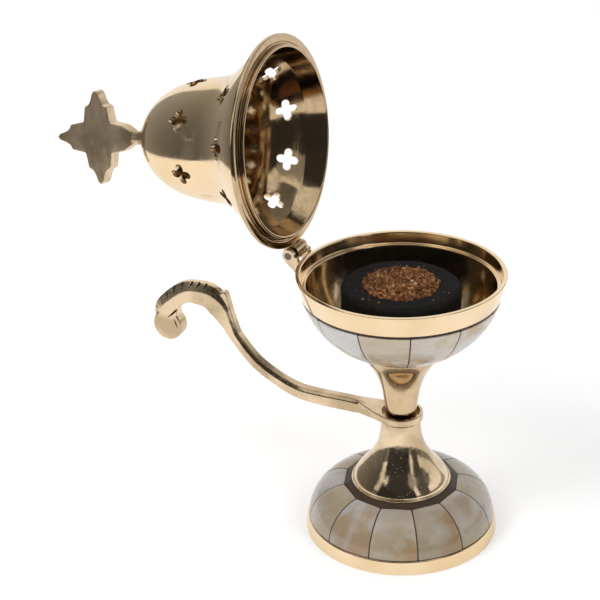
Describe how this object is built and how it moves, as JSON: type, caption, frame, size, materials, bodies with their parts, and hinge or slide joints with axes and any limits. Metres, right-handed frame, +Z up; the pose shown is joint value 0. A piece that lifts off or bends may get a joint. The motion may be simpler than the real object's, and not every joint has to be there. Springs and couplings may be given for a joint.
{
  "type": "hand censer",
  "caption": "Footed brass hand censer with pearl inlay, a notched scroll handle and a pierced bell lid on a hinge, holding a charcoal tablet with incense.",
  "frame": {"origin": "on the ground, below the middle of the open censer's length and width", "axes": "+Z up along the stem, -X from the stem towards the handle and the hinge, +Y to the left of someone who looks along +X"},
  "size_m": [0.1626, 0.0706, 0.1718],
  "materials": {
    "polished_brass": "polished",
    "cast_brass": "polished casting with pits and file marks",
    "pearl": "polished mother-of-pearl",
    "mastic": "dark mastic",
    "steel": "plain steel",
    "charcoal": "pressed charcoal",
    "incense": "granular incense"
  },
  "bodies": {
    "censer": {"base_shell": "polished_brass", "base_mastic": "mastic", "base_tile_01": "pearl", "base_tile_02": "pearl", "base_tile_03": "pearl", "base_tile_04": "pearl", "base_tile_05": "pearl", "base_tile_06": "pearl", "base_tile_07": "pearl", "base_tile_08": "pearl", "base_tile_09": "pearl", "base_tile_10": "pearl", "base_tile_11": "pearl", "base_tile_12": "pearl", "lower_stem": "cast_brass", "handle": "cast_brass", "upper_stem": "polished_brass", "bowl": "polished_brass", "bowl_mastic": "mastic", "bowl_tile_01": "pearl", "bowl_tile_02": "pearl", "bowl_tile_03": "pearl", "bowl_tile_04": "pearl", "bowl_tile_05": "pearl", "bowl_tile_06": "pearl", "bowl_tile_07": "pearl", "bowl_tile_08": "pearl", "bowl_tile_09": "pearl", "bowl_tile_10": "pearl", "bowl_tile_11": "pearl", "bowl_tile_12": "pearl", "bowl_hinge_bracket": "cast_brass", "hinge_pin": "steel", "tie_bolt": "steel", "base_washer": "steel", "base_nut": "steel"},
    "lid": {"lid_bell": "polished_brass", "lid_hinge_lug": "cast_brass", "finial_cross": "cast_brass", "finial_nut": "steel"},
    "charcoal": {"charcoal_tablet": "charcoal", "incense_heap": "incense"}
  },
  "joints": [
    {"name": "lid_hinge", "type": "hinge", "parent": "censer", "child": "lid", "pos_m": [0.00789, 0, 0.0984], "axis": [0, 1, 0], "range_deg": [0, 96]},
    {"name": "charcoal_lift", "type": "slide", "parent": "censer", "child": "charcoal", "axis": [0, 0, 1], "range_m": [0, 0.022]}
  ]
}
